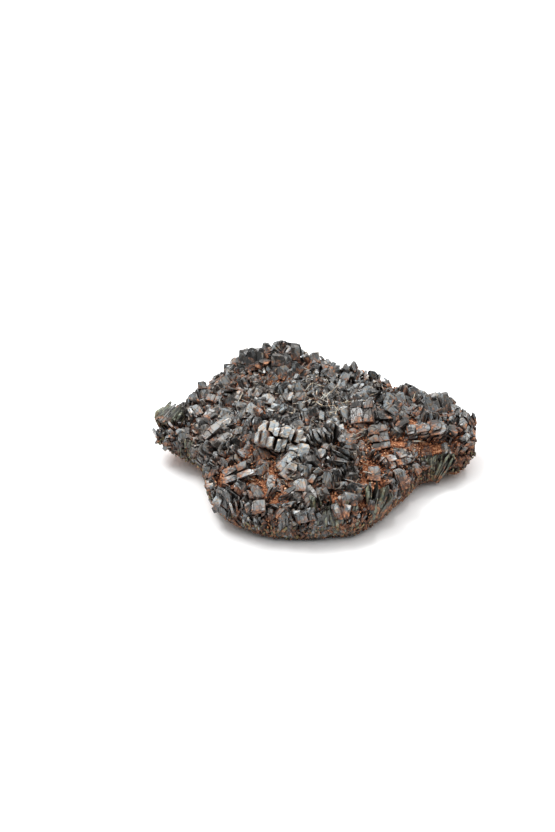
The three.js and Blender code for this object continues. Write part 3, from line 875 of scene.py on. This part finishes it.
# Finer crystals that fill the crust, in small bundles that point the same way
bundles = {
    "seed": 31, "tries": 2600, "reach": 0.99, "apart": 2.05, "members": (2, 5), "spread": 1.9, "sunk": 1.3,
    "length": (2.8, 4.8), "width": (1.6, 3.4), "thickness": (0.8, 1.8), "faceTurn": 110, "faceRise": (5, 80),
    "turn": 90, "jitter": 16, "tones": (0.45, 0.35), "rust": (0.45, 0.18),
    "bareShare": 0.72,  # how often a rusty patch has none
    "rimLength": 0.75, "rimFrom": (0.75, 0.95),
    "tipLength": 0.7, "tipFrom": (-41, -36),  # shorter towards the left tip
    "raised": [  # x, y and height in mm of those that stand up along the back
        (-21, 26, 1.0), (-19, 25, 1.6), (-17.5, 27.5, 2.6), (-15.5, 25, 1.8), (-14, 27, 3.4), (-13, 25, 2.4),
        (-11.5, 27.5, 3.2), (-9.5, 28, 4.0), (-10, 24.5, 1.6), (-7, 27.5, 4.0), (-5.5, 26, 2.6),
        (-6.5, 24, 1.2), (-2.5, 26.5, 2.6), (0, 26, 2.6), (-1, 24, 1.2), (3, 24.5, 1.6), (-23, 23.5, 1.0),
        (-26, 20, 0.8), (5, 23, 1.2), (11, 20, 1.2),
    ],
    "raisedLength": 0.8,
}
# Books of thin blades, seen on their edges as often as on their flats
books = {
    "share": 0.34, "inFront": 0.55, "frontFrom": (-18, -8), "onTheBack": 0.15, "leaves": (3, 8),
    "pitch": (0.45, 0.95), "length": (2.8, 5.6), "width": (1.0, 3.0), "thickness": (0.2, 0.5),
    "leafShare": ((0.55, 1.1), (0.6, 1.1)),  # length and width of one leaf beside the book's
    "faceTurn": 75, "faceRise": (-20, 65), "turn": 150, "rimTurn": 0.3, "rimFrom": (0.72, 0.92),
    "jitter": 9, "fan": 3, "tones": (0.4, 0.5), "rust": (0.4, 0.2),
}


def scatterOnSlab(random, tries, apart, reach):
    spots = []
    for _ in range(tries):
        x, y, _, share, _, _ = randomSpot(random, reach)
        if all(math.dist((x, y), spot[:2]) > apart for spot in spots):
            spots.append((x, y, share))
    return spots


# A bundle's or a place's own tone or rust, and a little more for each copy
def mixed(shares, own, random):
    return shares[0] * own + shares[1] * random()


def blockBundle(x, y, lift, stunted, random):
    face = (-90 + bundles["faceTurn"] * random(-1, 1), random(*bundles["faceRise"]))
    turn = bundles["turn"] * (random() - 0.5)
    tone = random() + 2 * stainAt("light", x, y)
    spread, jitter = bundles["spread"], bundles["jitter"]
    for _ in range(int(random(*bundles["members"]))):
        matrix = frameOf({
            "at": (x + spread * (random() - 0.5), y + spread * (random() - 0.5)), "lift": lift,
            "turn": turn + jitter * (random() - 0.5),
            "face": (face[0] + jitter * (random() - 0.5), face[1] + jitter * (random() - 0.5)),
        }) @ Matrix.Translation((0, -bundles["sunk"], 0))
        size = sizeFrom(bundles, random, stunted=stunted)
        yield (pick(blockShapes, random), matrix @ size, mixed(bundles["tones"], tone, random),
               mixed(bundles["rust"], rustAt(x, y), random))


def bladeBook(x, y, lift, stunted, random):
    atRim = smoothStep(placeOnSlab(x, y)[0], *books["rimFrom"])
    aside = 0 if random() < 0.5 else 180
    face = (aside + books["faceTurn"] * random(-1, 1), random(*books["faceRise"]))
    turn = books["turn"] * lerp(1, books["rimTurn"], atRim) * (random() - 0.5)
    home = frameOf({"at": (x, y), "turn": turn, "face": face, "lift": lift})
    leaves = int(random(*books["leaves"]))
    pitch, length, width = (random(*books[key]) for key in ("pitch", "length", "width"))
    tone = random() + 2 * stainAt("light", x, y)
    for k in range(leaves):
        off = k - (leaves - 1) / 2 + 0.6 * (random() - 0.5)
        matrix = (home @ Matrix.Translation((off * pitch, -bundles["sunk"], 0.4 * width * (random() - 0.5)))
                  @ Matrix.Rotation(math.radians(-books["fan"] * off), 4, "Z")
                  @ turnedAbout("X", books["jitter"], random) @ turnedAbout("Y", books["jitter"], random))
        size = Matrix.Diagonal((
            random(*books["thickness"]), stunted * length * random(*books["leafShare"][0]),
            width * random(*books["leafShare"][1]), 1))
        yield (pick(splinterShapes, random), matrix @ size, mixed(books["tones"], tone, random),
               mixed(books["rust"], rustAt(x, y), random))


def bundleCopies():
    random = seededNumbers(bundles["seed"])
    for x, y, share in scatterOnSlab(random, bundles["tries"], bundles["apart"], bundles["reach"]):
        if random() < bundles["bareShare"] * patchAt(x, y):
            continue
        stunted = (lerp(1, bundles["rimLength"], smoothStep(share, *bundles["rimFrom"]))
                   * lerp(bundles["tipLength"], 1, smoothStep(x, *bundles["tipFrom"])))
        isBook = random() < lerp(books["inFront"], books["share"], smoothStep(y, *books["frontFrom"]))
        yield from (bladeBook if isBook else blockBundle)(x, y, 0, stunted, random)
    for x, y, lift in bundles["raised"]:
        isBook = random() < books["onTheBack"]
        yield from (bladeBook if isBook else blockBundle)(x, y, lift, bundles["raisedLength"], random)


# A place on the wall, and the way out of it
def onWall(angle, reach, height):
    outward = Vector((math.cos(angle), math.sin(angle), 0))
    return Vector((*slab["middle"], 0)) + outward * reach + Vector((0, 0, height)), outward


# Crystals that stand out of the wall all round, longest up the wall
wall = {
    "seed": 41, "count": 1250, "level": (0.03, 1.0), "length": (1.8, 4.2), "width": (0.8, 2.4),
    "thickness": (0.4, 1.1), "buried": 1.3, "clearOfSheaf": 3.4, "leftTip": -38.5,
    "up": (0.7, 1.4), "out": (0.1, 0.9), "along": (-0.6, 0.6), "tone": 0.6, "rust": (0.45, 0.4),
}


def wallCopies():
    random = seededNumbers(wall["seed"])
    wallSheaves = [group["at"] for group in groups if group["lift"] < -2]
    for _ in range(wall["count"]):
        angle = 2 * math.pi * random()
        radius, low, top = rimAt(angle)
        level = random(*wall["level"])
        share = wallShareAt(level)
        place, outward = onWall(angle, share * radius - wall["buried"], lerp(low, topHeight(top, share), level))
        up = (upwards * random(*wall["up"]) + outward * random(*wall["out"])
              + outward.cross(upwards) * random(*wall["along"])).normalized()
        facing = Matrix.Rotation(2 * math.pi * random(), 3, up) @ up.orthogonal().normalized()
        size = sizeFrom(wall, random)
        near = any(math.dist(place[:2], at) < wall["clearOfSheaf"] for at in wallSheaves)
        if near or place.x < wall["leftTip"]:
            continue
        yield (pick(blockShapes, random), standing(place, facing, up) @ size,
               wall["tone"] * random(), mixed(wall["rust"], rustAt(place.x, place.y), random))


# Sheaves of long fibres that lie up the wall and spread at the top
sheaves = {
    "seed": 61,
    "green": [  # x, y, width along the wall in mm, fibres
        (30.5, -9.5, 7, 110), (2.5, -33, 9, 110), (9.5, -32.5, 3.5, 40), (14.5, -29, 4, 60),
        (-27.5, 21, 5, 50), (12, 22.5, 6, 60), (-2, 29, 5, 50), (35, 11.5, 4, 40), (-34, -4, 4, 30),
    ],
    "dark": [
        (-24, -26, 5, 70), (-17, -31, 6, 70), (-8, -33.5, 5, 60), (1, -33.5, 6, 50), (20, -22, 5, 50),
        (25, -14, 6, 60), (-29, -12, 6, 60), (-18, 29, 8, 90), (20, 18, 8, 80), (-36, 12, 7, 70),
    ],
    "length": (3.5, 7.5), "overTop": 1.5, "width": (0.45, 1.0), "thickness": (0.25, 0.5), "foot": (0.8, 4.0),
    "buried": (0.1, 0.9), "spread": 14, "jitter": 10, "lean": (-4, 16), "tone": (0.15, 0.85), "rust": 0.15,
}


def sheafCopies(kind):
    random = seededNumbers(sheaves["seed"])
    for x, y, width, fibres in sheaves[kind]:
        middle, reach = fromMiddle(x, y)
        for _ in range(fibres):
            aside = random() - 0.5
            angle = middle + aside * width / reach
            radius, low, top = rimAt(angle)
            height = low + random(*sheaves["foot"])
            share = wallShareAt((height - low) / (top - low))
            place, outward = onWall(angle, share * radius - random(*sheaves["buried"]), height)
            splay = 2 * sheaves["spread"] * aside + sheaves["jitter"] * (random() - 0.5)
            lean = math.radians(random(*sheaves["lean"]))
            up = (Matrix.Rotation(math.radians(splay), 3, outward)
                  @ Matrix.Rotation(lean, 3, outward.cross(upwards)) @ upwards)
            size = sizeFrom(sheaves, random, min(random(*sheaves["length"]), top + sheaves["overTop"] - height))
            yield (pick(splinterShapes, random), standing(place, outward, up) @ size,
                   random(*sheaves["tone"]), sheaves["rust"] * random())


# A bundle of long blades at the left tip, whose flats make a rounded, finely lined back
dome = {
    "seed": 91, "from": (-40.3, 4.8, 9.6), "heading": 50, "rise": 20, "radius": 2.6, "layers": 2, "strips": 13,
    "step": 16, "facing": -80, "jitter": 4, "length": (5.4, 7.2), "width": (0.8, 1.15),
    "thickness": (0.25, 0.45), "layerDepth": 0.35, "slip": 0.9, "tone": (0.08, 0.43), "rust": 0.1,
}


def domeCopies():
    random = seededNumbers(dome["seed"])
    along = direction(math.radians(dome["heading"]), math.radians(dome["rise"]))
    outward = along.cross(-upwards).normalized()
    for layer in range(dome["layers"]):
        for k in range(dome["strips"]):
            turn = dome["facing"] + dome["step"] * (k + 0.5 * layer - dome["strips"] / 2)
            facing = Matrix.Rotation(math.radians(turn + dome["jitter"] * random()), 3, along) @ -outward
            place = standing(dome["from"], facing, along) @ Matrix.Translation((
                dome["radius"] - dome["layerDepth"] * layer, -dome["slip"] * random(), 0))
            size = sizeFrom(dome, random)
            yield (pick(blockShapes, random), place @ turnedAbout("Z", dome["jitter"], random) @ size,
                   random(*dome["tone"]), dome["rust"])


# Crumbs of rust and tiny crystals in the gaps
crumbs = {
    "seed": 51, "grains": 9900, "grainSize": (0.26, 0.72), "splinters": 4500, "splinterLength": (0.8, 2.2),
    "bareOfRust": 0.6,  # how often a crumb away from the patches is rust
    "heap": 1.5,  # mm that rust piles up in the patches
    "above": (-0.3, 0.5),  # mm
    "lumps": 1.6,  # mm
    "rust": (0.4, 0.2),
}


def crumbCopies():
    random = seededNumbers(crumbs["seed"])
    grains, splinters = [], []
    while len(grains) < crumbs["grains"] or len(splinters) < crumbs["splinters"]:
        x, y, _, share, low, top = randomSpot(random)
        rust, patch = rustAt(x, y), patchAt(x, y)
        axis = Vector((random() - 0.5, random() - 0.5, random() - 0.4)).normalized()
        turned = turnedAbout(axis, 180, random)
        isGrain = random() < crumbs["bareOfRust"] + patch
        least, most = crumbs["above"]
        most += crumbs["heap"] * patch * (1 + blotAt(x, y, crumbs["lumps"], 5))
        place = Matrix.Translation((x, y, surfaceHeight(share, low, top) + random(least, most)))
        if isGrain and len(grains) < crumbs["grains"]:
            size = lerp(*crumbs["grainSize"], random() ** 2)
            form = Matrix.Diagonal((size * random(0.4, 1.2), size * random(0.7, 1.5), size, 1))
            grains.append((pick(grainShapes, random), place @ turned @ form, random(), rust))
        elif not isGrain and len(splinters) < crumbs["splinters"]:
            length = random(*crumbs["splinterLength"])
            size = Matrix.Diagonal((length * random(0.15, 0.4), length, length * random(0.4, 0.9), 1))
            splinters.append((pick(splinterShapes, random), place @ turned @ size, 0.8 * random(),
                              mixed(crumbs["rust"], rust, random)))
    return grains, splinters


# Short olive fibres and crumbs round the foot of the wall
foot = {
    "seed": 81, "count": 4200, "height": 3.6, "length": (0.7, 2.4), "width": (0.25, 0.8),
    "thickness": (0.15, 0.45), "spread": 55, "twist": 60, "behindWall": (-0.5, 0.9),  # mm
    "lowShare": 1.4,  # above 1, more of them lie low
    "tone": 0.9, "rust": (0.3, 0.3),
}


def footCopies():
    random = seededNumbers(foot["seed"])
    for _ in range(foot["count"]):
        angle = 2 * math.pi * random()
        radius, low, top = rimAt(angle)
        radius -= 0.5 * rock["frontBack"] * frontness(angle)
        rise = foot["height"] * random() ** foot["lowShare"]
        share = wallShareAt(rise / (top - low))
        place, outward = onWall(angle, share * radius - random(*foot["behindWall"]), low + rise)
        up = Matrix.Rotation(math.radians(foot["spread"] * random(-1, 1)), 3, outward) @ upwards
        turned = standing(place, outward, up) @ turnedAbout("Y", foot["twist"], random)
        size = sizeFrom(foot, random)
        yield (pick(splinterShapes, random), turned @ size, foot["tone"] * random(),
               mixed(foot["rust"], rustAt(place.x, place.y), random))


# Pale thin blades and needles that lie across the crust
needles = {
    "seed": 71, "count": 260, "reach": 0.8, "length": (1.4, 4.6), "width": (0.12, 0.36),
    "thickness": (0.08, 0.16), "rise": (-10, 30), "above": (0.5, 2.0),
    "gathered": (3, 6, 5.5, 26),  # x, y, radius in mm and how many of the long ones lie there
    "gatheredLift": 1.6, "rust": 0.25,
}


def needleCopies():
    random = seededNumbers(needles["seed"])
    middleX, middleY, spread, gathered = needles["gathered"]
    for number in range(needles["count"]):
        x, y, angle, share, low, top = randomSpot(random, needles["reach"])
        long = number < gathered
        if long:
            x, y = middleX + spread * share * math.cos(angle), middleY + spread * share * math.sin(angle)
            share, low, top = placeOnSlab(x, y)
        heading = 2 * math.pi * random()
        up = direction(heading, math.radians(random(*needles["rise"])))
        facing = Matrix.Rotation(math.pi * (random() - 0.5), 3, up) @ up.orthogonal().normalized()
        length = lerp(*needles["length"], random() ** (0.5 if long else 2))
        size = sizeFrom(needles, random, length)
        height = surfaceHeight(share, low, top) + random(*needles["above"]) + needles["gatheredLift"] * long
        yield (pick(splinterShapes, random), standing((x, y, height), facing, up) @ size,
               random(), needles["rust"] * random())


# The rock itself: a ball drawn into the slab's form, then broken up
rock = {
    "subdivisions": 7,
    "lumps": [(7.0, 0.8), (2.6, 0.55), (1.1, 0.3)],  # size and height in mm
    "patchRise": 0.9,  # mm that the rusty patches stand up between the crystals
    "sunk": 0.35,  # mm that the crust hides
    "footRust": 0.75,  # rust left at the foot, as a share
    "footTo": (4, 9),  # mm, where the full rust begins
    "frontBack": 1.1,  # mm that the front wall stands back behind its fibres
}
sections = {  # height on the ball, and the slab's section there
    "ball": (-1, -0.22, -0.06, 0.08, 0.18, 1),
    "share": (0, *slab["wallShare"], 0),
    "level": (0, *slab["wallLevel"], 1),
}


def frontness(angle):
    return max(0, -math.sin(angle)) ** 2


def makeRock(material):
    bm = bmesh.new()
    bmesh.ops.create_icosphere(bm, subdivisions=rock["subdivisions"], radius=1)
    squares = [s * s for s in sections["share"]]  # even spacing over the flat top and foot
    for vert in bm.verts:
        share = math.sqrt(float(np.interp(vert.co.z, sections["ball"], squares)))
        level = float(np.interp(vert.co.z, sections["ball"], sections["level"]))
        angle = math.atan2(vert.co.y, vert.co.x)
        radius, low, top = rimAt(angle)
        radius -= rock["frontBack"] * frontness(angle)
        low *= min(1, max(0, (share - slab["footShare"]) / (1 - slab["footShare"])))
        vert.co = (*slabPoint(angle, share * radius), lerp(low, topHeight(top, share), level))
    bmesh.ops.recalc_face_normals(bm, faces=bm.faces[:])
    bm.normal_update()
    moved = []
    for vert in bm.verts:
        height = sum(depth * noise.noise(vert.co / size) for size, depth in rock["lumps"])
        raised = rock["patchRise"] * patchAt(vert.co.x, vert.co.y) * max(0, vert.normal.z) - rock["sunk"]
        moved.append(vert.co + vert.normal * (height + raised))
    for vert, place in zip(bm.verts, moved):
        vert.co = (place.x, place.y, max(0, place.z))
    rust = [rustAt(v.co.x, v.co.y) * lerp(rock["footRust"], 1, smoothStep(v.co.z, *rock["footTo"]))
            for v in bm.verts]
    bmesh.ops.translate(bm, verts=bm.verts[:], vec=(-boxMiddle[0], -boxMiddle[1], 0))
    bmesh.ops.scale(bm, verts=bm.verts[:], vec=(mm, mm, mm))
    data = bpy.data.meshes.new("matrix_rock")
    bm.to_mesh(data)
    bm.free()
    addLayer(data, "rust", rust)
    addLayer(data, "tone", [0.5] * len(rust))
    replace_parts(finishPiece(data, material), "matrix")


makeCamera()
makeStudio()
print("camera and studio made")
rockStone = ironStainedRock()
darkEpidote, greenEpidote, oliveEpidote, paleEpidote = (
    epidoteLook(name, *kind) for name, kind in epidoteKinds.items())
print("materials:", len(bpy.data.materials))
makeRock(rockStone)
for group in groups:
    name = group["name"]
    piece = joinCopies(
        name + "_plates", groupCopies(group), greenEpidote if name in looksGreen else darkEpidote)
    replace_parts(piece, name)
crustCopies = (copy for group in crustBetween() for copy in groupCopies(group))
joinCopies("crust_blocks", crustCopies, darkEpidote)
joinCopies("crust_bundles", bundleCopies(), darkEpidote)
joinCopies("wall_crystals", [*wallCopies(), *sheafCopies("dark")], darkEpidote)
joinCopies("wall_sheaves", sheafCopies("green"), greenEpidote)
joinCopies("left_tip_dome", domeCopies(), greenEpidote)
joinCopies("foot_fibres", footCopies(), oliveEpidote)
joinCopies("pale_needles", needleCopies(), paleEpidote)
rustGrains, splinters = crumbCopies()
joinCopies("rust_grains", rustGrains, rockStone)
joinCopies("crust_splinters", splinters, darkEpidote)

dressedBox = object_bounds()
for title, box in (("cad box", cadBox), ("dressed box", dressedBox)):
    print(title, [[round(v / mm, 2) for v in c] for c in box])
